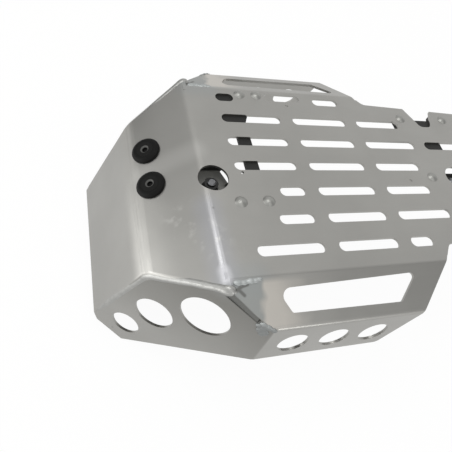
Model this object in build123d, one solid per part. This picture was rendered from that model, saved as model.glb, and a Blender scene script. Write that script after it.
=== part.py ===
"""Motorcycle skid plate: a folded and welded aluminium tray with riveted steel brackets.

It lies as on the bench, upside down: the skid face looks up (+Z) and the nose points to -X.
Millimetres. The pieces are drawn with their zero on the centre line of the skid face, midway
between the two mounting studs, and are written out about the seat of those studs.
"""

import os
from math import cos, radians, sin, sqrt, tan

from build123d import *

# Tray: sheet, fold lines and bend radii on the outer side
sheet = 2.5
half_width = 107.0
fold_x = -149.0
tail_x = 212.0
ramp_angle = 30.2
ramp_length = 64.3
nose_angle = 68.6
nose_length = 103.7
fold_radius = 13.0
brow_radius = 20.0
wall_angle = 21.3
wall_width = 44.0
flange_angle = 81.5
flange_width = 51.0
side_radius = 7.0
rim_radius = 5.0
side_land = 5.0

# Rear edge of each side wall: X at the side fold, at the rim and at the flange's lower edge
near_rear = (69.5, 35.0, 11.0)
far_rear = (50.6, 28.0, 12.5)
rear_corner_radius = 5.0

# Cheeks: bent in from the flanges and welded to the ramp and the nose
cheek_turn = 37.1
cheek_lean = 9.6
cheek_overhang = 10.2
cheek_front = (-239.6, -137.3)
cheek_low = (-217.3, -148.0)
weld_radius = 4.0
cheek_bend_radius = 5.0
groove_depth = 2.2
groove_width = 4.4
groove_drop = 3.2
corner_weld_top = 4.0
corner_weld_low = 14.0
cheek_excess = 20.0

# Tail: where each edge leaves the walls, X and the inset from the side fold, and the end's inset
near_tail_start = (82.7, 18.0)
far_tail_start = (60.0, 12.0)
tail_end_inset = 20.0
tail_corner_radius = 15.0
relief_radius = 10.0
land_corner_radius = 2.0
notch_x = 134.5
notch_mouth = 38.5
notch_floor = 14.0
notch_depth = 27.0
notch_radius = 6.0

# Slots in the panel: rows run along X, columns share their ends
slot_width = 10.8
slot_length = 64.0
row_pitch = 30.0
first_row_y = 65.0
row_count = 6
column_pitch = 78.1
first_column_x = -84.2
column_count = 3
tail_slot_rows = (1, 4)
# Lengths taken off the slot ends beside the rivets, the relief and the studs
foot_rivet_cut = 38.0
foot_edge_cut = 29.0
far_rivet_cut = 8.0
far_stud_cut = 9.0
near_stud_cut = 9.5
near_relief_cut = 38.0
# Short slots beside the far wall: both ends, and the middle line's inset from the side fold
far_slots = ((-117.0, -98.0, 13.0), (-62.0, -21.0, 9.4), (-5.0, 26.0, 12.0))

# Holes
access_radius = 14.1
pilot_radius = 1.6
pilot_places = ((-110.4, -3.4), (-39.0, 86.3), (74.9, -13.5))
flange_hole_radius = 14.25
flange_hole_pitch = 40.5
flange_hole_first_x = -86.3
flange_hole_count = 3
flange_hole_drop = 27.8
# Cheek holes: X, Z and radius, growing from the nose to the flange
cheek_holes = ((-214.9, -117.3, 13.9), (-193.6, -78.9, 18.5), (-157.7, -45.5, 23.0))
# Window corners, front top first: X and the distance down the wall
window_corners = ((-106.7, 11.8), (33.1, 7.8), (12.8, 32.6), (-94.6, 31.9))
window_radii = (7.0, 3.5, 3.0, 3.0)

# Brackets: black steel plates riveted inside the panel, each with a dropped tab for a stud.
# Their X values are taken from the stud that they carry.
bracket_sheet = 4.0
bracket_bend = 3.0
bracket_corner = 2.5
tab_drop = 14.5
tab_half_width = 18.0
tab_reach = 18.0
tab_heel = 14.0
tab_web = 10.0
tab_land = 12.0
front_web_width = 21.0
front_tab_edge = (20.8, 14.3)
front_tab_end = 11.0
front_lip_height = 10.0
front_lip_slant = 4.3
strap_x = 41.9
strap_width = 12.9
# Near foot: both ends in X and in Y
near_foot = (11.1, 55.1, -46.0, -26.0)
# Far foot: both X ends, and the insets of its inner and outer edge from the side fold
far_foot = (11.1, 77.1, 31.0, 3.0)
far_flare_start = 30.0
far_flare_end = 16.0
far_gusset = (14.0, 6.0)
# Cross plate of the rear bracket: both X ends, and the insets of its ends from the side folds
rear_strap = (-27.1, 5.4, 25.0, 23.0)
rear_foot_ends = (-43.1, 36.9)
rear_foot_width = 22.0
rear_tongue = (-42.1, -27.1, -18.0, 0.0)
tab_opening_margin = 2.0
notch_lip = 12.5

# Mounting studs and their nuts and washers; a thread is drawn at its core inside a nut
stud_spacing = 278.2
stud_y = -9.0
stud_radius = 4.0
core_radius = 3.6
stud_above_nut = 2.6
stud_free = 22.0
stud_chamfer = 0.7
thread_clearance = 0.05
bolt_clearance = 0.25
nut_flats = 13.0
nut_height = 6.8
washer_radius = 8.0
washer_height = 1.6

# Rivets with domed heads
rivet_radius = 3.0
rivet_head_radius = 6.0
rivet_head_height = 2.6
rivet_tail_radius = 4.5
rivet_tail_height = 3.5
rivet_clearance = 0.05
# Places of the rivets: X from the bracket's stud and Y
near_foot_rivets = ((19.9, -36.0), (46.8, -35.6))
tongue_rivets = ((-33.6, -9.0),)
# Rivets beside the side folds: X from the bracket's stud and the inset from the fold
far_foot_rivets = ((49.1, 7.5), (68.1, 7.5))
far_tail_rivets = ((-34.8, 31.2), (26.9, 30.0))
near_tail_rivets = ((-34.8, 32.0), (26.9, 34.0))

# Nose screws: countersunk socket screws in cup washers on the ramp
screw_down_ramp = 48.1
screw_spacing = 40.0
screw_y = 20.9
screw_head_radius = 8.0
screw_socket_flats = 5.0
screw_socket_depth = 3.2
screw_socket_chamfer = 1.4
screw_free = 16.0
cup_radius = 13.8
cup_top_radius = 11.0
cup_side = 2.0
cup_height = 4.0
cup_edge = 0.6
seat_clearance = 0.05

# Sizes of the trimming blocks and drills, longer than what they cut, and the reach of a touch
stock = 1200.0
drill = 100.0
cut_depth = 8.0
touch = 0.01

# The slot ends that are cut back, as (row, column)
cut_starts = {(3, 0): foot_rivet_cut, (4, 0): foot_edge_cut}
cut_ends = {(0, 2): far_rivet_cut, (2, 2): far_stud_cut, (3, 2): near_stud_cut, (5, 2): near_relief_cut}

tail_half_end = half_width - tail_end_inset
panel_under = -sheet
tab_top = panel_under - tab_drop
stud_seat = tab_top - bracket_sheet - washer_height - nut_height
front_x, rear_x = -stud_spacing / 2, stud_spacing / 2
stud_places = ((front_x, stud_y), (rear_x, stud_y))
front_rivets = [(front_x + x, y) for x, y in near_foot_rivets]
front_rivets += [(front_x + x, half_width - inset) for x, inset in far_foot_rivets]
rear_rivets = [(rear_x + x, y) for x, y in tongue_rivets]
rear_rivets += [(rear_x + x, half_width - inset) for x, inset in far_tail_rivets]
rear_rivets += [(rear_x + x, inset - half_width) for x, inset in near_tail_rivets]
to_row_frame = Pos(0, -stud_y, -stud_seat)


def along(angle, length):
    """Step of the given length that climbs at the angle."""
    return Vector(cos(radians(angle)) * length, sin(radians(angle)) * length)


def folded_strip(points, radii, thickness):
    """Section of a sheet folded along points, with its thickness to the right of their run.

    The radii are those of the bends on the drawn side.
    """
    points = [Vector(*point) for point in points]
    runs = [(end - start).normalized() for start, end in zip(points, points[1:])]
    rights = [Vector(run.Y, -run.X) for run in runs]
    pairs = zip(rights[:1] + rights, rights + rights[-1:])
    shifts = [(one + two) * (thickness / (1 + one.dot(two))) for one, two in pairs]
    backs = [point + shift for point, shift in zip(points, shifts)]
    turns = [one.cross(two).Z for one, two in zip(runs, runs[1:])]
    back_radii = [r - thickness if turn < 0 else r + thickness for r, turn in zip(radii, turns)]
    face = FilletPolyline(*points, radius=radii)
    back = FilletPolyline(*backs, radius=back_radii)
    ends = [Line(points[0], backs[0]), Line(points[-1], backs[-1])]
    return make_face(face.edges() + back.edges() + ends)


def beyond(plane):
    """Block that fills the space on the outer side of a plane."""
    return plane * Pos(0, 0, stock / 2) * Box(stock, stock, stock)


def both_sides(near):
    """A near-side shape together with its twin on the far side."""
    return near + mirror(near, about=Plane.XZ)


# Fold lines of the long section, in X and Z, and of the cross section, in Y and Z
fold_line = Vector(fold_x, 0)
brow_line = fold_line - along(ramp_angle, ramp_length)
nose_tip = brow_line - along(nose_angle, nose_length)
side_line = Vector(-half_width, 0)
rim_line = side_line - along(wall_angle, wall_width)
flange_end = rim_line - along(flange_angle, flange_width)

wall_plane = Plane(
    origin=(0, side_line.X, 0),
    x_dir=(1, 0, 0),
    z_dir=(0, -sin(radians(wall_angle)), cos(radians(wall_angle))),
)
flange_plane = Plane(
    origin=(0, rim_line.X, rim_line.Y),
    x_dir=(1, 0, 0),
    z_dir=(0, -sin(radians(flange_angle)), cos(radians(flange_angle))),
)
cheek_normal = Vector(
    -sin(radians(cheek_turn)) * cos(radians(cheek_lean)),
    -cos(radians(cheek_turn)) * cos(radians(cheek_lean)),
    sin(radians(cheek_lean)),
)
cheek_plane = Plane(origin=(fold_x, -half_width - cheek_overhang, 0), z_dir=cheek_normal)


def on_cheek(x, z):
    """Point of the near cheek's outer face at the given X and Z."""
    from_fold = (x - fold_x) * cheek_normal.X + z * cheek_normal.Z
    return Vector(x, cheek_plane.origin.Y - from_fold / cheek_normal.Y, z)


def cheek_x(y, z):
    """X of the near cheek's outer face at the given Y and Z."""
    from_fold = (y - cheek_plane.origin.Y) * cheek_normal.Y + z * cheek_normal.Z
    return fold_x - from_fold / cheek_normal.X


def tail_edge(start, x):
    """Half width of the tail at X, on the side that starts at the given X and inset."""
    share = (x - start[0]) / (tail_x - start[0])
    return half_width - start[1] - (tail_end_inset - start[1]) * share


def notch(start, side, depth):
    """Rounded notch in one edge of the tail, open outwards, cut to the given depth."""
    edge = tail_edge(start, notch_x)
    slope = (notch_mouth - notch_floor) / 2 / notch_depth
    floor = notch_mouth / 2 - slope * depth
    mouth = notch_mouth / 2 + slope * depth
    outline = FilletPolyline(
        (notch_x - mouth, edge + depth),
        (notch_x - floor, edge - depth),
        (notch_x + floor, edge - depth),
        (notch_x + mouth, edge + depth),
        radius=notch_radius,
    )
    face = make_face(outline.edges() + [Line(outline @ 0, outline @ 1)])
    return face if side > 0 else mirror(face, about=Plane.XZ)


def notches(depth):
    """The notch on each side of the tail."""
    return notch(far_tail_start, 1, depth) + notch(near_tail_start, -1, depth)


def panel_plan():
    """Plan of the flat panel and the tail, with the full width left for the nose."""
    land_y = half_width - side_land
    relief_x = fold_x + fold_radius * tan(radians(ramp_angle / 2))
    near_share = side_land / near_tail_start[1]
    near_corner = near_rear[0] + (near_tail_start[0] - near_rear[0]) * near_share
    far_share = side_land / far_tail_start[1]
    far_corner = far_rear[0] + (far_tail_start[0] - far_rear[0]) * far_share
    edge = FilletPolyline(
        (relief_x, -land_y),
        (near_corner, -land_y),
        (near_tail_start[0], near_tail_start[1] - half_width),
        (tail_x, -tail_half_end),
        (tail_x, tail_half_end),
        (far_tail_start[0], half_width - far_tail_start[1]),
        (far_corner, land_y),
        (relief_x, land_y),
        radius=[
            land_corner_radius,
            relief_radius,
            tail_corner_radius,
            tail_corner_radius,
            relief_radius,
            land_corner_radius,
        ],
    )
    panel = make_face(edge.edges() + [Line(edge @ 0, edge @ 1)])
    nose = Pos(relief_x - stock / 2, 0) * Rectangle(stock, stock)
    return panel + nose - notches(notch_depth)


def nose_and_panel():
    """Nose, ramp, panel and tail as one folded strip, cut to its plan."""
    tail_line = Vector(tail_x, 0)
    section = folded_strip(
        (nose_tip, brow_line, fold_line, tail_line), [brow_radius, fold_radius], sheet
    )
    strip = extrude(Plane.XZ * section, stock / 2, both=True)
    strip = strip & extrude(panel_plan(), stock / 2, both=True)
    return strip - both_sides(beyond(cheek_plane))


def side_wall(rear):
    """Near side wall and flange, from the cheek back to the slanted rear edge."""
    section = folded_strip(
        (flange_end, rim_line, side_line, side_line + Vector(side_land, 0)),
        [rim_radius, side_radius],
        sheet,
    )
    strip = extrude(Plane.YZ * section, stock / 2, both=True)
    top = Vector(rear[0], side_line.X, 0)
    rim = Vector(rear[1], rim_line.X, rim_line.Y)
    low = Vector(rear[2], flange_end.X, flange_end.Y)
    rear_plane = Plane(origin=top, x_dir=rim - top, z_dir=(rim - top).cross(low - top))
    strip = strip - beyond(rear_plane)
    corner = strip.edges().sort_by_distance(low)[:3].sort_by(SortBy.LENGTH)[0]
    strip = fillet(corner, rear_corner_radius)
    front_plane = Plane(origin=(fold_x, 0, 0), z_dir=(-1, 0, 0))
    return strip - beyond(front_plane) - beyond(cheek_plane)


def outer_line(end_x):
    """Outer line of the nose, the ramp and the panel up to the given X, in X and Z."""
    bends = [brow_radius, fold_radius]
    return FilletPolyline(nose_tip, brow_line, fold_line, (end_x, 0), radius=bends)


def cheek():
    """Near cheek: a flat plate under the nose's outline, closed against wall and flange."""
    front, low = Vector(*cheek_front), Vector(*cheek_low)
    flange_low = Vector(cheek_x(flange_end.X, flange_end.Y), flange_end.Y)
    past_flange = flange_low + (flange_low - low).normalized() * cheek_excess
    bottom = Polyline((past_flange.X, 0), past_flange, low, front, nose_tip)
    outline = make_face(outer_line(past_flange.X).edges() + bottom.edges())
    plate = cheek_plane * Pos(0, 0, -sheet / 2) * Box(stock, stock, sheet)
    plate = plate & extrude(Plane.XZ * outline, stock / 2, both=True)
    return plate - beyond(wall_plane) - beyond(flange_plane)


def corner_groove():
    """Open weld groove along the joint of the near cheek and the wall, lower at its outer end."""
    top_y = -half_width - cheek_overhang
    top_z = -cheek_overhang * tan(radians(wall_angle))
    low_y, low_z = rim_line.X, rim_line.Y - groove_drop
    start = Vector(cheek_x(top_y, top_z), top_y, top_z)
    end = Vector(cheek_x(low_y, low_z), low_y, low_z)
    run = (end - start).normalized()
    start, end = start + run * corner_weld_top, end - run * corner_weld_low
    outward = (wall_plane.z_dir + cheek_normal).normalized()
    place = Plane(origin=(start + end) / 2, x_dir=run, z_dir=outward)
    return place * Box((end - start).length, groove_width, 2 * groove_depth)


def slots():
    """All slots of the panel: full columns, the tail and the short far ones."""
    spans = []
    for row in range(row_count):
        y = first_row_y - row * row_pitch
        columns = column_count + (1 if row in tail_slot_rows else 0)
        for column in range(columns):
            middle = first_column_x + column * column_pitch
            start = middle - slot_length / 2 + cut_starts.get((row, column), 0)
            end = middle + slot_length / 2 - cut_ends.get((row, column), 0)
            spans.append((start, end, y))
    spans += [(start, end, half_width - inset) for start, end, inset in far_slots]
    cuts = [
        Pos((start + end) / 2, y) * SlotOverall(end - start, slot_width) for start, end, y in spans
    ]
    return extrude(Sketch() + cuts, cut_depth, both=True)


def upright_holes():
    """Access, pilot and rivet holes, square to the panel."""
    holes = [Pos(x, y) * Cylinder(access_radius, drill) for x, y in stud_places]
    holes += [Pos(x, y) * Cylinder(pilot_radius, drill) for x, y in pilot_places]
    rivet_hole = Cylinder(rivet_radius + rivet_clearance, 2 * cut_depth)
    holes += [Pos(x, y) * rivet_hole for x, y in front_rivets + rear_rivets]
    return Part() + holes


def side_cuts():
    """Window, flange holes and cheek holes of the near side."""
    corners = [(x, -drop) for x, drop in window_corners]
    outline = FilletPolyline(*corners, radius=window_radii, close=True)
    cuts = [extrude(wall_plane * make_face(outline.edges()), cut_depth, both=True)]
    for number in range(flange_hole_count):
        x = flange_hole_first_x + number * flange_hole_pitch
        place = flange_plane * Pos(x, -flange_hole_drop, 0)
        cuts.append(place * Cylinder(flange_hole_radius, 2 * cut_depth))
    for x, z, radius in cheek_holes:
        place = Plane(origin=on_cheek(x, z), z_dir=cheek_normal)
        cuts.append(place * Cylinder(radius, 2 * cut_depth))
    return Part() + cuts


ramp_normal = Vector(-sin(radians(ramp_angle)), 0, cos(radians(ramp_angle)))


def screw_places():
    """Place of each nose screw on the ramp's outer face, with Z out of the sheet."""
    middle = fold_line - along(ramp_angle, screw_down_ramp)
    return [
        Plane(
            origin=(middle.X, screw_y + side * screw_spacing / 2, middle.Y),
            x_dir=(0, 1, 0),
            z_dir=ramp_normal,
        )
        for side in (-1, 1)
    ]


def edges_on(body, distances):
    """Edges of a body, on either side, that keep to every surface the distances are taken from."""
    found = []
    for edge in body.edges():
        points = [edge @ share for share in (0.1, 0.5, 0.9)]
        points = [Vector(point.X, -abs(point.Y), point.Z) for point in points]
        if all(abs(distance(point)) < touch for distance in distances for point in points):
            found.append(edge)
    return found


def from_cheek(point):
    """Distance of a point from the near cheek's outer face."""
    return (point - cheek_plane.origin).dot(cheek_plane.z_dir)


def from_flange(point):
    """Distance of a point from the near flange's outer face."""
    return (point - flange_plane.origin).dot(flange_plane.z_dir)


def from_outer_line(point):
    """Distance of a point from the outer face of nose, ramp and panel."""
    return (Plane.XZ * outer_line(tail_x)).distance_to(Vector(point.X, 0, point.Z))


def skid_plate():
    """The whole tray: folded sheet, welded corners and all its cut-outs."""
    body = nose_and_panel() + side_wall(near_rear)
    body = body + mirror(side_wall(far_rear), about=Plane.XZ)
    body = body + both_sides(cheek())
    body = fillet(edges_on(body, [from_cheek, from_outer_line]), weld_radius)
    body = fillet(edges_on(body, [from_cheek, from_flange]), cheek_bend_radius)
    body = body - both_sides(corner_groove()) - both_sides(side_cuts())
    body = body - slots() - upright_holes()
    screw_hole = Cylinder(stud_radius + bolt_clearance, 2 * cut_depth)
    return body - [place * screw_hole for place in screw_places()]


def rectangle(left, right, low, high):
    """Rectangle between two X and two Y values."""
    return Pos((left + right) / 2, (low + high) / 2) * Rectangle(right - left, high - low)


def flat_bracket(plan):
    """Bracket plate of the given plan, against the inside of the panel."""
    plan = fillet(plan.vertices(), bracket_corner)
    return Pos(0, 0, panel_under - bracket_sheet) * extrude(plan, bracket_sheet)


def dropped_tab(width):
    """Tab that steps down from the plate to its stud at zero, with a land on the plate."""
    section = folded_strip(
        (
            (-tab_heel - tab_web - tab_land, panel_under),
            (-tab_heel - tab_web, panel_under),
            (-tab_heel, tab_top),
            (tab_reach, tab_top),
        ),
        [bracket_bend + bracket_sheet, bracket_bend],
        bracket_sheet,
    )
    return extrude(Plane.XZ * section, width / 2, both=True)


def bracket_holes(rivets):
    """Stud holes and the given rivet holes through a bracket."""
    holes = [Pos(x, y) * Cylinder(stud_radius + bolt_clearance, drill) for x, y in stud_places]
    rivet_hole = Cylinder(rivet_radius + rivet_clearance, drill)
    holes += [Pos(x, y) * rivet_hole for x, y in rivets]
    return Part() + holes


def front_bracket():
    """Cross strap with a riveted foot at each end and a dropped tab beside the near foot."""
    left, right = strap_x - strap_width / 2, strap_x + strap_width / 2
    foot_y, foot_end = half_width - far_foot[2], half_width - far_foot[3]
    flare = Polyline(
        (far_foot[0], foot_y),
        (far_foot[0], foot_y - far_flare_end),
        (left, foot_y - far_flare_start),
        (right, foot_y - far_flare_start),
        (right, foot_y - far_gusset[0]),
        (right + far_gusset[1], foot_y),
        close=True,
    )
    plan = rectangle(*near_foot) + rectangle(far_foot[0], far_foot[1], foot_y, foot_end)
    plan = plan + make_face(flare) + rectangle(left, right, near_foot[2], foot_y)
    low = stud_y - tab_half_width
    web_end = low + front_web_width
    web = Pos(0, (low + web_end) / 2) * mirror(dropped_tab(front_web_width), about=Plane.YZ)
    tab_left, tab_right = -tab_reach, tab_heel
    lip_end = front_tab_end + bracket_sheet
    tab_plan = Polyline(
        (tab_left, low),
        (tab_right, low),
        (tab_right, web_end),
        (front_tab_edge[0], web_end),
        (front_tab_edge[1], front_tab_end),
        (front_tab_edge[1], lip_end),
        (tab_left, lip_end),
        close=True,
    )
    tab = Pos(0, 0, tab_top - bracket_sheet) * extrude(make_face(tab_plan), bracket_sheet)
    lip_plan = Polyline(
        (tab_left, tab_top),
        (front_tab_edge[1], tab_top),
        (front_tab_edge[1] + front_lip_slant, tab_top + front_lip_height),
        (tab_left + front_lip_slant, tab_top + front_lip_height),
        close=True,
    )
    lip = Pos(0, lip_end) * extrude(Plane.XZ * make_face(lip_plan), bracket_sheet)
    bracket = Pos(front_x, 0) * (flat_bracket(plan) + web + tab + lip)
    return bracket - bracket_holes(front_rivets)


def rear_bracket():
    """Cross plate with a riveted foot on each side of the tail and a dropped tab between."""
    near_y, far_y = rear_strap[2] - half_width, half_width - rear_strap[3]
    plan = rectangle(rear_strap[0], rear_strap[1], near_y, far_y) + rectangle(*rear_tongue)
    plan = plan + rectangle(*rear_foot_ends, near_y, near_y + rear_foot_width)
    plan = plan + rectangle(*rear_foot_ends, far_y - rear_foot_width, far_y)
    clear = tab_half_width + tab_opening_margin
    plan = plan - rectangle(-tab_heel - tab_web, stock, stud_y - clear, stud_y + clear)
    tab = Pos(0, stud_y) * dropped_tab(2 * tab_half_width)
    bracket = Pos(rear_x, 0) * (flat_bracket(plan) + tab)
    bracket = bracket - extrude(notches(notch_depth - notch_lip), stock, both=True)
    return bracket - bracket_holes(rear_rivets)


def dome(radius, height):
    """Shallow dome on the plane z = 0."""
    ball = (radius**2 + height**2) / (2 * height)
    below = Plane(origin=(0, 0, 0), z_dir=(0, 0, -1))
    return Pos(0, 0, height - ball) * Sphere(ball) - beyond(below)


def standing(radius, low, high):
    """Upright round bar between two heights."""
    return Pos(0, 0, (low + high) / 2) * Cylinder(radius, high - low)


def rivet():
    """Blind rivet: domed head on the skid face, shank, and the upset tail under the bracket."""
    tail = panel_under - bracket_sheet
    shank = standing(rivet_radius, tail, 0)
    upset = standing(rivet_tail_radius, tail - rivet_tail_height, tail)
    return dome(rivet_head_radius, rivet_head_height) + shank + upset


def nut():
    """Hexagon nut on the plane z = 0, with turned corners."""
    corner_radius = nut_flats / sqrt(3)
    turned = standing(corner_radius, 0, nut_height)
    turned = chamfer(turned.edges().filter_by(GeomType.CIRCLE), corner_radius - nut_flats / 2)
    prism = extrude(RegularPolygon(corner_radius, 6), nut_height)
    return (prism & turned) - standing(core_radius + thread_clearance, 0, nut_height)


def washer():
    """Plain washer on the plane z = 0."""
    ring = standing(washer_radius, 0, washer_height)
    return ring - standing(stud_radius + bolt_clearance, 0, washer_height)


def free_end(top, length):
    """Threaded end that hangs free below a nut."""
    bar = standing(stud_radius, top - length, top)
    return chamfer(bar.edges().filter_by(GeomType.CIRCLE).sort_by(Axis.Z)[:1], stud_chamfer)


def stud():
    """Mounting stud through its tab, with its free end below the lower nut."""
    top = tab_top + washer_height + nut_height + stud_above_nut
    held = standing(core_radius, stud_seat, top)
    held = chamfer(held.edges().filter_by(GeomType.CIRCLE).sort_by(Axis.Z)[-1:], stud_chamfer)
    return held + free_end(stud_seat, stud_free)


def cup_washer():
    """Thick cup washer on the plane z = 0, countersunk for the screw's head."""
    crown_height = cup_height - cup_side
    crown = Pos(0, 0, cup_side + crown_height / 2) * Cone(cup_radius, cup_top_radius, crown_height)
    body = standing(cup_radius, 0, cup_side) + crown
    body = chamfer(body.edges().filter_by(GeomType.CIRCLE).sort_by(Axis.Z)[1:], cup_edge)
    sink_radius = screw_head_radius + seat_clearance
    sink_depth = sink_radius - core_radius
    sink = Pos(0, 0, cup_height - sink_depth / 2) * Cone(core_radius, sink_radius, sink_depth)
    return body - sink - standing(stud_radius + bolt_clearance, 0, cup_height)


def nose_screw():
    """Countersunk socket screw, flush with its cup washer, with a free end inside."""
    head_height = screw_head_radius - core_radius
    head = Cone(core_radius, screw_head_radius, head_height)
    head = Pos(0, 0, cup_height - head_height / 2) * head
    nut_end = panel_under - washer_height - nut_height
    shank = standing(core_radius, nut_end, cup_height - head_height) + free_end(nut_end, screw_free)
    corner_radius = screw_socket_flats / sqrt(3)
    socket = Pos(0, 0, cup_height - screw_socket_depth) * extrude(
        RegularPolygon(corner_radius, 6), screw_socket_depth
    )
    mouth = Cone(corner_radius, corner_radius + screw_socket_chamfer, screw_socket_chamfer)
    mouth = Pos(0, 0, cup_height - screw_socket_chamfer / 2) * mouth
    return head + shank - socket - mouth


def on_studs(places, shapes):
    """Copies of upright shapes at the given stud places."""
    return Part() + [Pos(x, y) * shape for x, y in places for shape in shapes]


front, rear = stud_places[:1], stud_places[1:]
upper_washer = Pos(0, 0, tab_top) * washer()
upper_nut = Pos(0, 0, tab_top + washer_height) * nut()
lower_washer = Pos(0, 0, tab_top - bracket_sheet - washer_height) * washer()
lower_nut = Pos(0, 0, stud_seat) * nut()
inner_washer = Pos(0, 0, panel_under - washer_height) * washer()
inner_nut = Pos(0, 0, panel_under - washer_height - nut_height) * nut()

pieces = {
    "skid_plate": skid_plate(),
    "front_bracket": front_bracket(),
    "rear_bracket": rear_bracket(),
    "front_rivets": Part() + [Pos(x, y) * rivet() for x, y in front_rivets],
    "rear_rivets": Part() + [Pos(x, y) * rivet() for x, y in rear_rivets],
    "front_stud": on_studs(front, [stud()]),
    "front_stud_nuts": on_studs(front, [upper_nut, lower_nut]),
    "front_stud_washers": on_studs(front, [upper_washer, lower_washer]),
    "rear_stud": on_studs(rear, [stud()]),
    "rear_stud_nuts": on_studs(rear, [upper_nut, lower_nut]),
    "rear_stud_washers": on_studs(rear, [upper_washer, lower_washer]),
    "nose_screws": Part() + [place * nose_screw() for place in screw_places()],
    "nose_cup_washers": Part() + [place * cup_washer() for place in screw_places()],
    "nose_washers": Part() + [place * inner_washer for place in screw_places()],
    "nose_nuts": Part() + [place * inner_nut for place in screw_places()],
}

os.makedirs("parts", exist_ok=True)
for name, shape in pieces.items():
    export_step(to_row_frame * shape, f"parts/{name}.step")
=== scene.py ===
from math import pi

import bmesh
import bpy
from mathutils import Matrix, Vector


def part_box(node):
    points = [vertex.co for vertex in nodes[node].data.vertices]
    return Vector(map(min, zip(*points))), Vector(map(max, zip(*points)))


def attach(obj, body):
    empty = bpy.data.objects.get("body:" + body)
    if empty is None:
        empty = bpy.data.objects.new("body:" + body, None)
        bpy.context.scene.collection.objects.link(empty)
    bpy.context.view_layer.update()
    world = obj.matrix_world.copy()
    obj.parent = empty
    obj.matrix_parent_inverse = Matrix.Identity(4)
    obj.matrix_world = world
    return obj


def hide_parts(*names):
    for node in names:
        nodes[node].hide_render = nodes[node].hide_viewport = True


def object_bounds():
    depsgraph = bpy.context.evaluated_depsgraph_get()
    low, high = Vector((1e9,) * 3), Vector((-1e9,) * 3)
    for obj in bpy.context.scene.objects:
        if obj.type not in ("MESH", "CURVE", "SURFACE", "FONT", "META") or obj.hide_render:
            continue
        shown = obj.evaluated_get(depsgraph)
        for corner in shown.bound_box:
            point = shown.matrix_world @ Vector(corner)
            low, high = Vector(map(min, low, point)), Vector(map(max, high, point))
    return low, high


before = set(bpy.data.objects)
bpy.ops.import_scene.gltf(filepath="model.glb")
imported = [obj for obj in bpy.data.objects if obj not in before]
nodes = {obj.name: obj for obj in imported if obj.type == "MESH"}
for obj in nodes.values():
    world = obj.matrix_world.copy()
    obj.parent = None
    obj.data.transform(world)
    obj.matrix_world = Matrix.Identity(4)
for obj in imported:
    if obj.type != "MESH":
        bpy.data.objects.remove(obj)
cad_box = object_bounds()


# Tray: one sheet of aluminium, 2.5 mm thick, cut out flat and folded to a panel, ramp, nose, walls
# and flanges. Cheeks welded in along their seams close the front corners. The metal is left bare.

def linear(code):
    """Linear colour of an sRGB hex value."""
    parts = [int(code[place:place + 2], 16) / 255 for place in (1, 3, 5)]
    parts = [part / 12.92 if part <= 0.04045 else ((part + 0.055) / 1.055) ** 2.4 for part in parts]
    return parts + [1]


def add(tree, kind, links, **settings):
    """Adds a node with its settings; each link is a value, an output or a node's first output."""
    made = tree.nodes.new(kind)
    for name, value in settings.items():
        setattr(made, name, value)
    for socket, value in links.items():
        if isinstance(value, bpy.types.Node):
            value = next(output for output in value.outputs if output.enabled)
        if isinstance(value, bpy.types.NodeSocket):
            tree.links.new(value, made.inputs[socket])
        else:
            made.inputs[socket].default_value = value
    return made


def finish_of(name):
    """New empty node material, with its tree."""
    material = bpy.data.materials.new(name)
    material.use_nodes = True
    material.node_tree.nodes.clear()
    return material, material.node_tree


def coat(piece, material):
    """Gives a piece its one material."""
    piece.data.materials.clear()
    piece.data.materials.append(material)


def streak(tree, place, start, end, reach, edge):
    """Soft mask along a line: 1 on it, falling to 0 from the edge's share of the reach outwards."""
    start, run = Vector(start), Vector(end) - Vector(start)
    along = run / run.length_squared
    away = add(tree, "ShaderNodeVectorMath", {0: place, 1: start}, operation="SUBTRACT")
    share = add(tree, "ShaderNodeVectorMath", {0: away, 1: along}, operation="DOT_PRODUCT")
    share = add(tree, "ShaderNodeMapRange", {"Value": share.outputs["Value"]})
    foot = add(tree, "ShaderNodeVectorMath", {0: run, "Scale": share}, operation="SCALE")
    gap = add(tree, "ShaderNodeVectorMath", {0: away, 1: foot}, operation="DISTANCE")
    return add(tree, "ShaderNodeMapRange", {
        "Value": gap.outputs["Value"], "From Min": reach, "From Max": reach * edge},
        interpolation_type="SMOOTHSTEP")


# Satin mill-finish aluminium: soft blurred gloss, a faint cloudy tone, rolling lines along the
# panel, and a few specks and scuffs from handling. Heat has dulled it beside the corner welds, and
# the walls are rubbed bright behind them. Painted shade darkens the cheeks towards the top and the
# open weld groove, whose dross is dark too. The ramp is wiped bright between its screws, and a
# painted highlight lies pale and cool along the near fold and paler at its end.
satin_aluminium, tree = finish_of("satin_aluminium_sheet")
cloud_width = 0.055
place = add(tree, "ShaderNodeTexCoord", {}).outputs["Object"]
cloud = add(tree, "ShaderNodeTexNoise", {"Vector": place, "Scale": 1 / cloud_width, "Detail": 3.0})
tone = add(tree, "ShaderNodeMix", {
    0: cloud, 6: linear("#9b9a96"), 7: linear("#a9a8a4")}, data_type="RGBA")

# Both halves of the tray share their zones: x, the distance from the centre line, and z
middle_y = 0.009
parted = add(tree, "ShaderNodeSeparateXYZ", {"Vector": place})
along_x, along_z = parted.outputs["X"], parted.outputs["Z"]
across = add(tree, "ShaderNodeMath", {0: parted.outputs["Y"], 1: middle_y}, operation="SUBTRACT")
across = add(tree, "ShaderNodeMath", {0: across}, operation="ABSOLUTE")
half = add(tree, "ShaderNodeCombineXYZ", {"X": along_x, "Y": across, "Z": along_z})

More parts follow.
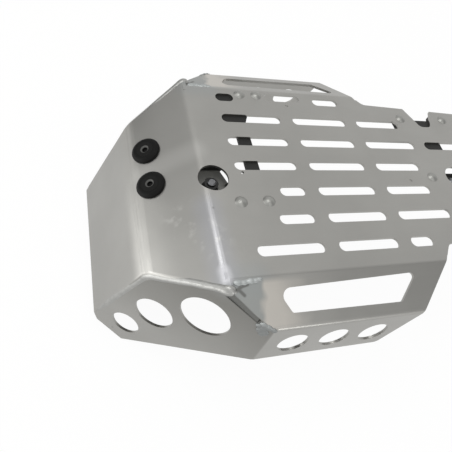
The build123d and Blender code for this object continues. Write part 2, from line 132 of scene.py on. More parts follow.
# Outer face of a cheek: the way square to it and its distance out along that way, its bottom and
# its top, and the skin under the face that still counts as face
cheek_way = Vector((-0.5948, 0.7864, 0.1668))
cheek_far = 0.1857
cheek_low, cheek_top = -0.070, 0.012
skin_start, skin_full = 0.0011, 0.0003
outward = add(tree, "ShaderNodeVectorMath", {0: half, 1: cheek_way}, operation="DOT_PRODUCT")
on_cheek = add(tree, "ShaderNodeMapRange", {
    "Value": outward.outputs["Value"],
    "From Min": cheek_far - skin_start, "From Max": cheek_far - skin_full})
off_cheek = add(tree, "ShaderNodeMath", {0: 1.0, 1: on_cheek}, operation="SUBTRACT")
# Painted shade: the cheeks' outer faces are drawn darker towards the top
high = add(tree, "ShaderNodeMapRange", {
    "Value": along_z, "From Min": cheek_low, "From Max": cheek_top})
painted_cheek_shade = add(tree, "ShaderNodeMath", {0: on_cheek, 1: high}, operation="MULTIPLY")
tone = add(tree, "ShaderNodeMix", {0: painted_cheek_shade, 6: tone, 7: linear("#868581")}, data_type="RGBA")

for zone, start, end, reach, edge, depth, colour in (
        # heat on the panel beside the corner welds
        (half, (-0.144, 0.108, 0.028), (-0.124, 0.108, 0.028), 0.020, 0.2, 0.35, "#9a9fa0"),
        # painted highlight: a pale cool halo along the near fold
        (place, (-0.1505, -0.030, 0.0288), (-0.1490, -0.095, 0.0292), 0.020, 0.0, 0.6, "#a8a9ae"),
        # band of the ramp wiped bright between its screws
        (place, (-0.1960, 0.0260, 0.0020), (-0.1500, 0.0330, 0.0290), 0.0170, 0.1, 0.6, "#b8b7b3")):
    stain = streak(tree, zone, start, end, reach, edge)
    stain = add(tree, "ShaderNodeMath", {0: stain, 1: depth}, operation="MULTIPLY")
    tone = add(tree, "ShaderNodeMix", {0: stain, 6: tone, 7: linear(colour)}, data_type="RGBA")
# Painted highlight: a pale patch where the near fold's highlight ends, which is also rougher
painted_fold_end_highlight = streak(
    tree, place, (-0.1488, -0.0910, 0.0293), (-0.1476, -0.1040, 0.0288), reach=0.0080, edge=0.0)
tone = add(tree, "ShaderNodeMix", {0: painted_fold_end_highlight, 6: tone, 7: linear("#c9c9cc")}, data_type="RGBA")

# Side walls: dull from heat ahead of a line that wanders, rubbed bright behind it until that fades
wall_start, wall_full = 0.109, 0.113
rim_start, rim_full = 0.0125, 0.0150
wander_width, wander_reach = 0.014, 0.020
heat_end, heat_full = -0.1050, -0.1120
rub_end, rub_full = -0.068, -0.096
on_wall = add(tree, "ShaderNodeMapRange", {
    "Value": across, "From Min": wall_start, "From Max": wall_full})
above_rim = add(tree, "ShaderNodeMapRange", {
    "Value": along_z, "From Min": rim_start, "From Max": rim_full})
wall_face = add(tree, "ShaderNodeMath", {0: on_wall, 1: above_rim}, operation="MULTIPLY")
wall_face = add(tree, "ShaderNodeMath", {0: wall_face, 1: off_cheek}, operation="MULTIPLY")
wander = add(tree, "ShaderNodeTexNoise", {
    "Vector": place, "Scale": 1 / wander_width, "Detail": 1.0})
wander = add(tree, "ShaderNodeMath", {
    0: wander, 1: wander_reach, 2: along_x}, operation="MULTIPLY_ADD")
front = add(tree, "ShaderNodeMapRange", {
    "Value": wander, "From Min": heat_end, "From Max": heat_full})
dulled = add(tree, "ShaderNodeMath", {0: wall_face, 1: front}, operation="MULTIPLY")
dulled = add(tree, "ShaderNodeMath", {0: dulled, 1: 0.6}, operation="MULTIPLY")
tone = add(tree, "ShaderNodeMix", {0: dulled, 6: tone, 7: linear("#969a99")}, data_type="RGBA")
behind = add(tree, "ShaderNodeMapRange", {
    "Value": wander, "From Min": heat_full, "From Max": heat_end})
fading = add(tree, "ShaderNodeMapRange", {
    "Value": wander, "From Min": rub_end, "From Max": rub_full})
rubbed = add(tree, "ShaderNodeMath", {0: behind, 1: fading}, operation="MULTIPLY")
rubbed = add(tree, "ShaderNodeMath", {0: rubbed, 1: wall_face}, operation="MULTIPLY")
tone = add(tree, "ShaderNodeMix", {0: rubbed, 6: tone, 7: linear("#bfbbb4")}, data_type="RGBA")

# Open weld groove, dark from dross and painted shade, with three marks beside it: a pit and painted
# drop shadows
dross_and_painted_shade = streak(
    tree, half, (-0.1466, 0.1186, 0.0232), (-0.1233, 0.1383, 0.0135), reach=0.0034, edge=0.75)
for start, end, reach in (
        ((-0.1400, 0.1163, 0.0258), (-0.1374, 0.1146, 0.0264), 0.0026),
        ((-0.1386, 0.1165, 0.0257), (-0.1346, 0.1205, 0.0241), 0.0022),
        ((-0.1374, 0.1146, 0.0264), (-0.1310, 0.1131, 0.0270), 0.0017)):
    pit_and_painted_shadow = streak(tree, half, start, end, reach, edge=0.2)
    dross_and_painted_shade = add(tree, "ShaderNodeMath", {0: dross_and_painted_shade, 1: pit_and_painted_shadow}, operation="MAXIMUM")
dross_and_painted_shade = add(tree, "ShaderNodeMath", {0: dross_and_painted_shade, 1: 0.85}, operation="MULTIPLY")
tone = add(tree, "ShaderNodeMix", {0: dross_and_painted_shade, 6: tone, 7: linear("#6a6a67")}, data_type="RGBA")

# Handling specks, each 3 mm across, about 28 mm apart where this share of them isn't left out
speck_apart, left_out = 0.028, 0.62
spots = add(tree, "ShaderNodeTexVoronoi", {"Vector": place, "Scale": 1 / speck_apart})
chance = add(tree, "ShaderNodeSeparateColor", {"Color": spots.outputs["Color"]})
chosen = add(tree, "ShaderNodeMath", {0: chance, 1: left_out}, operation="GREATER_THAN")
speck = add(tree, "ShaderNodeMapRange", {
    "Value": spots.outputs["Distance"], "From Min": 0.055, "From Max": 0.030, "To Max": 0.45})
specks = add(tree, "ShaderNodeMath", {0: speck, 1: chosen}, operation="MULTIPLY")
tone = add(tree, "ShaderNodeMix", {0: specks, 6: tone, 7: linear("#777673")}, data_type="RGBA")

# Pale scuffs on the near half of the ramp, in flecks about 9 mm apart
fleck_apart = 0.009
flecks = add(tree, "ShaderNodeTexNoise", {"Vector": place, "Scale": 1 / fleck_apart, "Detail": 4.0})
flecks = add(tree, "ShaderNodeMapRange", {
    "Value": flecks, "From Min": 0.56, "From Max": 0.72, "To Max": 0.45})
scuffed = streak(
    tree, place, (-0.172, -0.031, 0.0145), (-0.152, -0.063, 0.026), reach=0.022, edge=0.2)
scuffs = add(tree, "ShaderNodeMath", {0: flecks, 1: scuffed}, operation="MULTIPLY")
tone = add(tree, "ShaderNodeMix", {0: scuffs, 6: tone, 7: linear("#c6c5c1")}, data_type="RGBA")

# Rolled lines: hair-fine on the real sheet, drawn 1.2 mm apart so that they show. The sheet also
# sways a little, in waves about 50 mm long
line_length, line_apart = 0.030, 0.0012
sway_length = 0.050
rolled = add(tree, "ShaderNodeMapping", {
    "Vector": place, "Scale": (1 / line_length, 1 / line_apart, 1 / line_apart)})
lines = add(tree, "ShaderNodeTexNoise", {"Vector": rolled, "Scale": 1.0, "Detail": 2.0})
gloss = add(tree, "ShaderNodeMapRange", {"Value": lines, "To Min": 0.27, "To Max": 0.37})
dull = add(tree, "ShaderNodeMath", {0: dulled, 1: 0.15}, operation="MULTIPLY")
gloss = add(tree, "ShaderNodeMath", {0: gloss, 1: dull}, operation="ADD")
gloss = add(tree, "ShaderNodeMath", {0: painted_fold_end_highlight, 1: 0.25, 2: gloss}, operation="MULTIPLY_ADD")
grain = add(tree, "ShaderNodeBump", {"Height": lines, "Strength": 0.05, "Distance": 0.0003})
sway = add(tree, "ShaderNodeTexNoise", {"Vector": place, "Scale": 1 / sway_length, "Detail": 1.0})
sheet_face = add(tree, "ShaderNodeBump", {
    "Height": sway, "Strength": 0.35, "Distance": 0.0020, "Normal": grain})

# The brow eases into the ramp and the nose, and the fold above it into the ramp, over wider bands
# than the tight parts of the bends: where each band starts and ends across its bend, and its fall
brow, brow_way = (-0.2066, 0, -0.0052), (0.651, 0, 0.759)
fold, fold_way = (-0.1490, 0, 0.0294), (0.966, 0, 0.261)
for bend, bend_way, start, end, fall in (
        (brow, brow_way, 0.035, -0.002, 0.0036),
        (brow, brow_way, -0.018, 0.002, 0.0024),
        (fold, fold_way, -0.012, 0.002, 0.0006)):
    aside = add(tree, "ShaderNodeVectorMath", {0: place, 1: bend}, operation="SUBTRACT")
    aside = add(tree, "ShaderNodeVectorMath", {0: aside, 1: bend_way}, operation="DOT_PRODUCT")
    eased = add(tree, "ShaderNodeMapRange", {
        "Value": aside.outputs["Value"], "From Min": start, "From Max": end})
    eased = add(tree, "ShaderNodeMath", {0: eased, 1: 2.0}, operation="POWER")
    sheet_face = add(tree, "ShaderNodeBump", {
        "Strength": off_cheek, "Height": eased, "Distance": fall, "Normal": sheet_face},
        invert=True)
shader = add(tree, "ShaderNodeBsdfPrincipled", {
    "Base Color": tone, "Metallic": 1.0, "Roughness": gloss, "Normal": sheet_face})
add(tree, "ShaderNodeOutputMaterial", {"Surface": shader})
coat(nodes["skid_plate"], satin_aluminium)


# Seam beads: the aluminium weld that closes each cheek against the nose and the ramp. It is laid
# along the seam, dressed down to a low smooth bead, and ends rounded on the side wall.
bead_radius = 0.0027
ramp_out, nose_out = Vector((-0.503, 0, 0.864)), Vector((-0.931, 0, 0.365))
# Along the seam: x, z, the way out of the sheet, the girth in radii, and the share of it sunk
bead_line = (
    (-0.2404, -0.0945, nose_out, 0.3, 1.20),
    (-0.2370, -0.0858, nose_out, 1.25, 1.06),
    (-0.2240, -0.0525, nose_out, 1.60, 1.04),
    (-0.2092, -0.0166, nose_out, 1.65, 1.03),
    (-0.2041, -0.0043, nose_out + ramp_out, 1.95, 0.98),
    (-0.1925, 0.0028, ramp_out, 1.75, 0.98),
    (-0.1860, 0.0069, ramp_out, 1.50, 1.00),
    (-0.1795, 0.0111, ramp_out, 1.60, 1.00),
    (-0.1730, 0.0155, ramp_out, 1.35, 1.00),
    (-0.1665, 0.0192, ramp_out, 1.55, 1.00),
    (-0.1600, 0.0230, ramp_out, 1.35, 0.98),
    (-0.1545, 0.0262, ramp_out, 1.50, 0.96),
    (-0.1490, 0.0284, ramp_out, 1.8, 0.80),
    (-0.1440, 0.0266, ramp_out, 1.4, 0.95),
    (-0.1415, 0.0256, ramp_out, 0.2, 0.95),
)
# How far from the centre line the bead reaches, and how much more it leans to the sheet than to
# the cheek
bead_end = 0.1185
bead_lean = 1.3
beads = bpy.data.curves.new("seam_beads", "CURVE")
beads.dimensions = "3D"
beads.bevel_depth, beads.bevel_resolution = bead_radius, 5
beads.use_fill_caps = True
beads.resolution_u = 12
for side in (-1, 1):
    run = beads.splines.new("NURBS")
    run.points.add(len(bead_line) - 1)
    for point, (x, z, out, girth, sunk) in zip(run.points, bead_line):
        off = min((cheek_far - cheek_way.x * x - cheek_way.z * z) / cheek_way.y, bead_end)
        out_way = (out.normalized() * bead_lean + cheek_way).normalized()
        spot = Vector((x, off, z)) - out_way * (bead_radius * girth * sunk)
        point.co = (spot.x, middle_y + side * spot.y, spot.z, 1)
        point.radius = girth
    run.order_u = 3
    run.use_endpoint_u = True
bead_curve = bpy.data.objects.new("seam_beads_line", beads)
bead_mesh = bpy.data.meshes.new_from_object(bead_curve)
bpy.data.objects.remove(bead_curve)
shaped = bmesh.new()
shaped.from_mesh(bead_mesh)
bmesh.ops.remove_doubles(shaped, verts=shaped.verts, dist=1e-6)
bmesh.ops.recalc_face_normals(shaped, faces=shaped.faces)
for face in shaped.faces:
    face.smooth = True
shaped.to_mesh(bead_mesh)
shaped.free()
bead_mesh.name = "seam_beads"
seam_beads = bpy.data.objects.new("seam_beads", bead_mesh)
bpy.context.scene.collection.objects.link(seam_beads)

# Dressed weld aluminium: bright smooth silver with slow waves where the grinder passed.
dressed_weld, tree = finish_of("dressed_weld_aluminium")
cloud_width, wave_length = 0.008, 0.006
place = add(tree, "ShaderNodeTexCoord", {}).outputs["Object"]
cloud = add(tree, "ShaderNodeTexNoise", {"Vector": place, "Scale": 1 / cloud_width, "Detail": 3.0})
tone = add(tree, "ShaderNodeMix", {
    0: cloud, 6: linear("#969693"), 7: linear("#aeaeab")}, data_type="RGBA")
wave = add(tree, "ShaderNodeTexNoise", {"Vector": place, "Scale": 1 / wave_length, "Detail": 2.0})
skin = add(tree, "ShaderNodeBump", {"Height": wave, "Strength": 0.5, "Distance": 0.0008})
shader = add(tree, "ShaderNodeBsdfPrincipled", {
    "Base Color": tone, "Metallic": 1.0, "Roughness": 0.38, "Normal": skin})
add(tree, "ShaderNodeOutputMaterial", {"Surface": shader})
coat(seam_beads, dressed_weld)
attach(seam_beads, "root")


# Corner welds: short runs of aluminium weld that close the slit between panel and wall at each
# front corner, and the corner where wall, flange and cheek meet. They are left as laid, in
# overlapping drops.

# Drops in millimetres: x, the distance from the centre line and z, and half of each size
drops = (
    ((-139.1, 110.6, 27.8), (4.6, 3.2, 1.3)),
    ((-134.1, 111.0, 27.7), (4.0, 2.8, 1.2)),
    ((-131.0, 110.4, 27.9), (3.0, 2.4, 1.0)),
    ((-128.2, 110.1, 28.0), (3.6, 3.0, 1.4)),
    ((-124.2, 110.2, 28.0), (3.4, 2.8, 1.3)),
    ((-120.6, 109.4, 28.3), (3.0, 2.2, 1.0)),
)
# Drops that lie flat on the cheek, all equally high
corner_drops = (
    ((-123.0, 141.0, 9.6), (3.0, 2.6)),
    ((-119.6, 143.6, 9.0), (4.4, 4.4)),
    ((-117.2, 146.0, 5.4), (3.4, 3.8)),
    ((-120.4, 142.2, 13.4), (3.6, 3.0)),
    ((-116.6, 144.8, 12.8), (3.8, 3.2)),
    ((-112.6, 147.0, 12.0), (3.4, 2.6)),
    ((-119.5, 145.1, 2.5), (3.4, 3.6)),
    ((-121.8, 143.0, 5.4), (3.0, 3.4)),
)
corner_height = 1.6
laid = bmesh.new()
for side in (-1, 1):
    leaning = Vector((cheek_way.x, side * cheek_way.y, cheek_way.z)).to_track_quat("Z", "Y")
    leaning = leaning.to_matrix().to_4x4()
    upright = [(spot, Matrix.Identity(4), reach) for spot, reach in drops]
    flat = [(spot, leaning, (*reach, corner_height)) for spot, reach in corner_drops]
    for (x, off, z), turn, reach in upright + flat:
        spot = Matrix.Translation((x / 1000, middle_y + side * off / 1000, z / 1000))
        drop = spot @ turn @ Matrix.Diagonal([size / 1000 for size in reach] + [1])
        bmesh.ops.create_icosphere(laid, subdivisions=3, radius=1.0, matrix=drop)
weld_mesh = bpy.data.meshes.new("corner_welds")
laid.to_mesh(weld_mesh)
laid.free()
corner_welds = bpy.data.objects.new("corner_welds", weld_mesh)
bpy.context.scene.collection.objects.link(corner_welds)
fused = corner_welds.modifiers.new("fused", "REMESH")
fused.mode, fused.voxel_size, fused.use_smooth_shade = "VOXEL", 0.0005, True
settled = corner_welds.modifiers.new("settled", "SMOOTH")
settled.factor, settled.iterations = 0.5, 10

# As-laid weld aluminium: pale bluish silver, drawn darker and duller grey towards the bottom. The
# frozen ripples, under 1 mm on a real run, are drawn 2.5 mm apart so that they show.
laid_weld, tree = finish_of("tig_weld_aluminium")
cloud_width, ripple_apart = 0.004, 0.0025
darkening_top, darkening_full = 0.020, 0.012
place = add(tree, "ShaderNodeTexCoord", {}).outputs["Object"]
cloud = add(tree, "ShaderNodeTexNoise", {"Vector": place, "Scale": 1 / cloud_width, "Detail": 3.0})
tone = add(tree, "ShaderNodeMix", {
    0: cloud, 6: linear("#9da1a0"), 7: linear("#b8bbba")}, data_type="RGBA")
parted = add(tree, "ShaderNodeSeparateXYZ", {"Vector": place})
# Darker grey towards the bottom, from this height down
darker_below = add(tree, "ShaderNodeMapRange", {
    "Value": parted.outputs["Z"], "From Min": darkening_top, "From Max": darkening_full, "To Max": 0.8})
tone = add(tree, "ShaderNodeMix", {0: darker_below, 6: tone, 7: linear("#7c7e7d")}, data_type="RGBA")
ripple = add(tree, "ShaderNodeTexNoise", {
    "Vector": place, "Scale": 1 / ripple_apart, "Detail": 2.0})
skin = add(tree, "ShaderNodeBump", {"Height": ripple, "Strength": 0.2, "Distance": 0.0005})
shader = add(tree, "ShaderNodeBsdfPrincipled", {
    "Base Color": tone, "Metallic": 1.0, "Roughness": 0.48, "Normal": skin})
add(tree, "ShaderNodeOutputMaterial", {"Surface": shader})
coat(corner_welds, laid_weld)
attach(corner_welds, "root")


# Brackets: two pressed steel plates under the panel, each with a tab dropped to its stud. They are
# powder coated matt black and riveted through the panel.

# Matt black powder coat: an even orange peel, drawn 0.8 mm coarse so that it shows, a little dust,
# and the top face of the front tab drawn lighter grey.
black_powder, tree = finish_of("matt_black_powder_coat")
peel_width, dust_width = 0.0008, 0.020
# Heights that part the front tab from its strap, and its top face from the rest of it
strap_level, tab_level = 0.0150, 0.0125
face_start, face_full = 0.0112, 0.0120
place = add(tree, "ShaderNodeTexCoord", {}).outputs["Object"]
peel = add(tree, "ShaderNodeTexNoise", {"Vector": place, "Scale": 1 / peel_width, "Detail": 2.0})
skin = add(tree, "ShaderNodeBump", {"Height": peel, "Strength": 0.25, "Distance": 0.0001})
dust = add(tree, "ShaderNodeTexNoise", {"Vector": place, "Scale": 1 / dust_width, "Detail": 4.0})
tone = add(tree, "ShaderNodeMix", {
    0: dust, 6: linear("#191918"), 7: linear("#262624")}, data_type="RGBA")
parted = add(tree, "ShaderNodeSeparateXYZ", {"Vector": place})
lowered = add(tree, "ShaderNodeMapRange", {
    "Value": parted.outputs["Z"], "From Min": strap_level, "From Max": tab_level})
uppermost = add(tree, "ShaderNodeMapRange", {
    "Value": parted.outputs["Z"], "From Min": face_start, "From Max": face_full})
forward = add(tree, "ShaderNodeMath", {0: parted.outputs["X"], 1: 0.0}, operation="LESS_THAN")
# The front tab's top face is drawn lighter grey
tab_top_lighter = add(tree, "ShaderNodeMath", {0: lowered, 1: uppermost}, operation="MULTIPLY")
tab_top_lighter = add(tree, "ShaderNodeMath", {0: tab_top_lighter, 1: forward}, operation="MULTIPLY")
tone = add(tree, "ShaderNodeMix", {0: tab_top_lighter, 6: tone, 7: linear("#8d8d89")}, data_type="RGBA")
shader = add(tree, "ShaderNodeBsdfPrincipled", {
    "Base Color": tone, "Roughness": 0.6, "Specular IOR Level": 0.3, "Normal": skin})
add(tree, "ShaderNodeOutputMaterial", {"Surface": shader})
for name in ("front_bracket", "rear_bracket"):
    coat(nodes[name], black_powder)


# Rivets: blind rivets of soft aluminium, pressed with low domed heads. They are set through the
# panel and the brackets' feet, and pulled tight from the skid face.

# Drawn rivet aluminium: smooth and satin, a little darker than the sheet.
rivet_aluminium, tree = finish_of("drawn_rivet_aluminium")
cloud_width = 0.003
place = add(tree, "ShaderNodeTexCoord", {}).outputs["Object"]
cloud = add(tree, "ShaderNodeTexNoise", {"Vector": place, "Scale": 1 / cloud_width, "Detail": 3.0})
tone = add(tree, "ShaderNodeMix", {
    0: cloud, 6: linear("#8f8f8b"), 7: linear("#a3a39f")}, data_type="RGBA")
shader = add(tree, "ShaderNodeBsdfPrincipled", {
    "Base Color": tone, "Metallic": 1.0, "Roughness": 0.40})
add(tree, "ShaderNodeOutputMaterial", {"Surface": shader})
for name in ("front_rivets", "rear_rivets"):
    coat(nodes[name], rivet_aluminium)


# Studs: M8 steel studs clamped through the tabs, with rolled threads and zinc plating. Each is a
# turned core with chamfered ends and a thread ridge wound round what shows of it at each end.
thread_pitch = 0.00125
crest_radius, root_radius = 0.0040, 0.0034
chamfer = crest_radius - root_radius
turn_steps = 32
# The lower thread ends just under the lower nut, and the upper one starts just above its nut, this
# far below the tip
lower_thread_top = -0.0004
upper_thread = 0.0024
# The ridge's corners: radius, with both feet just inside the core, and rise in pitches
ridge_foot = root_radius - 0.0001
ridge = ((ridge_foot, 0.0), (crest_radius, 0.42), (crest_radius, 0.54), (ridge_foot, 0.96))

# Zinc plated steel: cool grey and satin, with a faint spangle drawn 2 mm coarse so that it shows.
zinc_steel, tree = finish_of("zinc_plated_steel")
spangle_width = 0.002
place = add(tree, "ShaderNodeTexCoord", {}).outputs["Object"]
spangle = add(tree, "ShaderNodeTexNoise", {
    "Vector": place, "Scale": 1 / spangle_width, "Detail": 3.0})
tone = add(tree, "ShaderNodeMix", {
    0: spangle, 6: linear("#6a6b6d"), 7: linear("#848587")}, data_type="RGBA")
shader = add(tree, "ShaderNodeBsdfPrincipled", {
    "Base Color": tone, "Metallic": 1.0, "Roughness": 0.34})
add(tree, "ShaderNodeOutputMaterial", {"Surface": shader})

for name in ("front_stud", "rear_stud"):
    low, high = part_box(name)
    axis = Vector(((low[0] + high[0]) / 2, (low[1] + high[1]) / 2, 0))
    turned = bmesh.new()
    outline = [turned.verts.new(axis + Vector((radius, 0, z))) for radius, z in (
        (0, low[2]), (root_radius - chamfer, low[2]), (root_radius, low[2] + chamfer),
        (root_radius, high[2] - chamfer), (root_radius - chamfer, high[2]), (0, high[2]))]
    for first, second in zip(outline, outline[1:]):
        turned.edges.new((first, second))
    bmesh.ops.spin(turned, geom=turned.verts[:] + turned.edges[:], cent=axis, axis=(0, 0, 1),
                   angle=2 * pi, steps=turn_steps, use_merge=True)
    for start, end in (
            (low[2] + chamfer, lower_thread_top), (high[2] - upper_thread, high[2] - chamfer)):
        turns = int((end - start) / thread_pitch)
        corners = [turned.verts.new(axis + Vector((radius, 0, start + rise * thread_pitch)))
                   for radius, rise in ridge]
        ring = [turned.edges.new((corners[spot], corners[spot - 1])) for spot in range(len(ridge))]
        wound = bmesh.ops.spin(
            turned, geom=corners + ring, cent=axis, axis=(0, 0, 1), angle=2 * pi * turns,
            steps=turn_steps * turns, dvec=(0, 0, thread_pitch / turn_steps))
        last = [edge for edge in wound["geom_last"] if isinstance(edge, bmesh.types.BMEdge)]
        for loop in (ring, last):
            bmesh.ops.contextual_create(turned, geom=loop)
    bmesh.ops.remove_doubles(turned, verts=turned.verts, dist=1e-6)
    bmesh.ops.recalc_face_normals(turned, faces=turned.faces)
    stud_mesh = bpy.data.meshes.new("threaded_" + name)
    turned.to_mesh(stud_mesh)
    turned.free()
    stud = bpy.data.objects.new("threaded_" + name, stud_mesh)
    bpy.context.scene.collection.objects.link(stud)
    coat(stud, zinc_steel)
    coat(nodes[name], zinc_steel)
    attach(stud, "root")
    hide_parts(name)


# Stud nuts and washers: hexagon nuts and plain washers of steel with a thin black oxide. A nut and
# a washer above each tab and another pair below clamp the stud to it.

# Black oxide steel: near black with a soft oily gloss and a faint rub, drawn 1.5 mm coarse so that
# it shows.
black_oxide, tree = finish_of("black_oxide_steel")
rub_width = 0.0015
place = add(tree, "ShaderNodeTexCoord", {}).outputs["Object"]
rub = add(tree, "ShaderNodeTexNoise", {"Vector": place, "Scale": 1 / rub_width, "Detail": 4.0})
tone = add(tree, "ShaderNodeMix", {
    0: rub, 6: linear("#141413"), 7: linear("#2a2a29")}, data_type="RGBA")
shader = add(tree, "ShaderNodeBsdfPrincipled", {
    "Base Color": tone, "Metallic": 0.4, "Roughness": 0.42})
add(tree, "ShaderNodeOutputMaterial", {"Surface": shader})
for name in ("front_stud_nuts", "front_stud_washers", "rear_stud_nuts", "rear_stud_washers"):
    coat(nodes[name], black_oxide)


# Cup washers: thick washers turned from aluminium and anodised black. Each lies on the ramp under
# a nose screw and takes its head flush.

# Black anodised aluminium: deep even black, nearly matt, with a fine etch drawn 0.6 mm coarse so
# that it shows.
black_anodised, tree = finish_of("black_anodised_aluminium")
etch_width = 0.0006
place = add(tree, "ShaderNodeTexCoord", {}).outputs["Object"]
etch = add(tree, "ShaderNodeTexNoise", {"Vector": place, "Scale": 1 / etch_width, "Detail": 2.0})
tone = add(tree, "ShaderNodeMix", {
    0: etch, 6: linear("#0d0d0c"), 7: linear("#151514")}, data_type="RGBA")
shader = add(tree, "ShaderNodeBsdfPrincipled", {
    "Base Color": tone, "Roughness": 0.5, "Specular IOR Level": 0.10})
add(tree, "ShaderNodeOutputMaterial", {"Surface": shader})
coat(nodes["nose_cup_washers"], black_anodised)


# Nose screws: two countersunk socket screws of blackened steel through the ramp. Their heads sit in
# cup washers and nuts inside hold them.

# Where the screws cross the ramp's face, the middle between them, and how far aside each one is
screw_spot = Vector((-0.19057, 0, 0.0052))
screw_middle_y, screw_aside = 0.0299, 0.020
# The grey ring lies this high on the head, and grows and fades between these radii
head_top = 0.0026
ring_start, ring_full = 0.0026, 0.0030
ring_fade, ring_end = 0.0038, 0.0043

# Blackened screw steel: dull deep black with a faint rub, drawn 1.5 mm coarse so that it shows,
# and a grey ring round the mouth of the socket.
blackened_steel, tree = finish_of("blackened_screw_steel")
place = add(tree, "ShaderNodeTexCoord", {}).outputs["Object"]
parted = add(tree, "ShaderNodeSeparateXYZ", {"Vector": place})
off = add(tree, "ShaderNodeMath", {
    0: parted.outputs["Y"], 1: screw_middle_y}, operation="SUBTRACT")
off = add(tree, "ShaderNodeMath", {0: off}, operation="ABSOLUTE")
off = add(tree, "ShaderNodeMath", {0: off, 1: screw_aside}, operation="SUBTRACT")
local = add(tree, "ShaderNodeCombineXYZ", {
    "X": parted.outputs["X"], "Y": off, "Z": parted.outputs["Z"]})
local = add(tree, "ShaderNodeVectorMath", {0: local, 1: screw_spot}, operation="SUBTRACT")
arm = add(tree, "ShaderNodeVectorMath", {0: local, 1: ramp_out}, operation="CROSS_PRODUCT")
arm = add(tree, "ShaderNodeVectorMath", {0: arm}, operation="LENGTH").outputs["Value"]
lift = add(tree, "ShaderNodeVectorMath", {0: local, 1: ramp_out}, operation="DOT_PRODUCT")
inner = add(tree, "ShaderNodeMapRange", {
    "Value": arm, "From Min": ring_start, "From Max": ring_full})
outer = add(tree, "ShaderNodeMapRange", {
    "Value": arm, "From Min": ring_end, "From Max": ring_fade})
top = add(tree, "ShaderNodeMath", {
    0: lift.outputs["Value"], 1: head_top}, operation="GREATER_THAN")
ring = add(tree, "ShaderNodeMath", {0: inner, 1: outer}, operation="MULTIPLY")
ring = add(tree, "ShaderNodeMath", {0: ring, 1: top}, operation="MULTIPLY")
rub = add(tree, "ShaderNodeTexNoise", {"Vector": place, "Scale": 1 / rub_width, "Detail": 4.0})
tone = add(tree, "ShaderNodeMix", {
    0: rub, 6: linear("#0e0e0d"), 7: linear("#181817")}, data_type="RGBA")
tone = add(tree, "ShaderNodeMix", {0: ring, 6: tone, 7: linear("#585856")}, data_type="RGBA")
shader = add(tree, "ShaderNodeBsdfPrincipled", {
    "Base Color": tone, "Roughness": 0.5, "Specular IOR Level": 0.12})
add(tree, "ShaderNodeOutputMaterial", {"Surface": shader})
coat(nodes["nose_screws"], blackened_steel)


# Nose nuts and washers: hexagon nuts and plain washers of steel, zinc plated like the studs. They
# are turned onto the nose screws' ends inside the ramp and clamp them.
for name in ("nose_washers", "nose_nuts"):
    coat(nodes[name], zinc_steel)


# Floor: a plain sweep of white paper under the plate, laid flat just below its lowest edge. It
# isn't part of the object.
floor_half, floor_gap = 6.0, 0.0005
floor_shape = bmesh.new()
bmesh.ops.create_grid(floor_shape, x_segments=1, y_segments=1, size=floor_half)
bmesh.ops.translate(
    floor_shape, verts=floor_shape.verts, vec=(0, 0, cad_box[0].z - floor_gap))
floor_mesh = bpy.data.meshes.new("floor")
floor_shape.to_mesh(floor_mesh)
floor_shape.free()
floor = bpy.data.objects.new("floor", floor_mesh)
bpy.context.scene.collection.objects.link(floor)

# White paper: matt and even. It shows white to the eye and in the metal, brighter in the metal in
# a pool ahead of the nose where the left soft box stands over it, and keeps a faint shadow.
white_paper, tree = finish_of("white_paper")
own_white = 0.94
rays = add(tree, "ShaderNodeLightPath", {})
mirrored = rays.outputs["Is Glossy Ray"]
seen = add(tree, "ShaderNodeMath", {
    0: rays.outputs["Is Camera Ray"], 1: mirrored}, operation="MAXIMUM")
seen = add(tree, "ShaderNodeMath", {
    0: seen, 1: rays.outputs["Is Transmission Ray"]}, operation="MAXIMUM")
shade = add(tree, "ShaderNodeBsdfDiffuse", {"Color": linear("#f4f4f2")})
place = add(tree, "ShaderNodeTexCoord", {}).outputs["Object"]
pool = streak(tree, place, (-0.80, -0.05, 0), (-0.80, -0.60, 0), reach=0.43, edge=0.88)
pool = add(tree, "ShaderNodeMath", {0: pool, 1: 1.38, 2: -0.08}, operation="MULTIPLY_ADD")
glare = add(tree, "ShaderNodeMath", {0: pool, 1: mirrored, 2: 1.0}, operation="MULTIPLY_ADD")
glow = add(tree, "ShaderNodeEmission", {"Color": linear("#ffffff"), "Strength": glare})
bright = add(tree, "ShaderNodeMixShader", {"Fac": own_white, 1: shade, 2: glow})
paper = add(tree, "ShaderNodeMixShader", {"Fac": seen, 1: shade, 2: bright})
add(tree, "ShaderNodeOutputMaterial", {"Surface": paper})
coat(floor, white_paper)


# Studio: a white sweep round the plate, with gaps where the room opens and pale cards that fill
# in, and soft boxes overhead, low at the left and at the front. The eye sees plain white.

# Each patch: the way to it, the cosines at its edge and its core, and the light that it takes, or
# gives where that is below zero
patches = (
    ((0.70, -0.26, 0.67), 0.80, 0.97, 0.42),  # open room at the right
    ((-0.464, 0.803, 0.375), 0.72, 0.98, 0.30),  # open room at the back left
    ((0.28, -0.52, 0.81), 0.92, 0.99, -0.45),  # card above the near side
    ((-0.900, 0.382, 0.208), 0.92, 0.985, -0.85),  # card low at the left
    ((-0.341, 0.406, 0.848), 0.94, 0.99, -0.12),  # card high at the back left
    ((0.345, 0.493, 0.799), 0.93, 0.99, 0.12),  # gap high at the back right
    ((-0.640, 0.763, 0.087), 0.92, 0.99, 0.45),  # gap low at the back left
    ((-0.761, 0.204, 0.616), 0.915, 0.988, -0.48),  # card high at the left
)
world = bpy.data.worlds.new("studio")
world.use_nodes = True
tree = world.node_tree
tree.nodes.clear()
rays = add(tree, "ShaderNodeLightPath", {})
way = add(tree, "ShaderNodeTexCoord", {}).outputs["Generated"]
level = 0.93
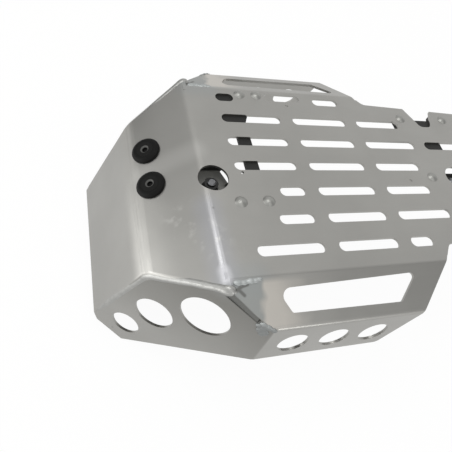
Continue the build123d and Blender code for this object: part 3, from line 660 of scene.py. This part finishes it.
for patch_way, edge, core, loss in patches:
    toward = add(tree, "ShaderNodeVectorMath", {0: way, 1: patch_way}, operation="DOT_PRODUCT")
    gloom = add(tree, "ShaderNodeMapRange", {
        "Value": toward.outputs["Value"], "From Min": edge, "From Max": core, "To Max": loss},
        interpolation_type="SMOOTHSTEP")
    level = add(tree, "ShaderNodeMath", {0: level, 1: gloom}, operation="SUBTRACT")
sweep = add(tree, "ShaderNodeBackground", {"Color": linear("#ffffff"), "Strength": level})
white = add(tree, "ShaderNodeBackground", {"Color": linear("#ffffff"), "Strength": 1.0})
both = add(tree, "ShaderNodeMixShader", {"Fac": rays.outputs["Is Camera Ray"], 1: sweep, 2: white})
add(tree, "ShaderNodeOutputWorld", {"Surface": both})
bpy.context.scene.world = world
bpy.context.scene.view_settings.view_transform = "Standard"

lit_spot = Vector((-0.15, 0, 0))
for name, spot, size, power in (
        ("overhead_box", (-0.20, 0.26, 1.16), (0.50, 0.50), 2.25),
        ("left_box", (-1.46, -0.20, 0.13), (1.5, 0.48), 5.2),
        ("front_box", (0.40, -1.26, 0.20), (0.30, 0.30), 1.0)):
    lamp = bpy.data.lights.new(name, "AREA")
    lamp.shape = "RECTANGLE"
    lamp.size, lamp.size_y = size
    lamp.energy = power
    box = bpy.data.objects.new(name, lamp)
    box.location = spot
    box.rotation_euler = (lit_spot - Vector(spot)).to_track_quat("-Z", "Y").to_euler()
    box.visible_camera = False
    bpy.context.scene.collection.objects.link(box)


# Camera: the photograph's own place, above the nose and the near side. Its place, lens and small
# shift were solved together with the plate's slots and holes.
frame_pixels, focal_pixels, shift_pixels = 452, 446.7, 0.5
eye_spot = (-0.25956, -0.23265, 0.33018)
right, up = Vector((0.9443, -0.2028, 0.2591)), Vector((0.0377, 0.849, 0.527))
eye = bpy.data.cameras.new("eye")
eye.sensor_width = 36.0
eye.lens = focal_pixels / frame_pixels * eye.sensor_width
eye.shift_x = -shift_pixels / frame_pixels
eye.shift_y = shift_pixels / frame_pixels
eye.clip_start = 0.01
camera = bpy.data.objects.new("eye", eye)
turned_eye = Matrix((right, up, right.cross(up))).transposed().to_4x4()
camera.matrix_world = Matrix.Translation(eye_spot) @ turned_eye
bpy.context.scene.collection.objects.link(camera)
bpy.context.scene.camera = camera
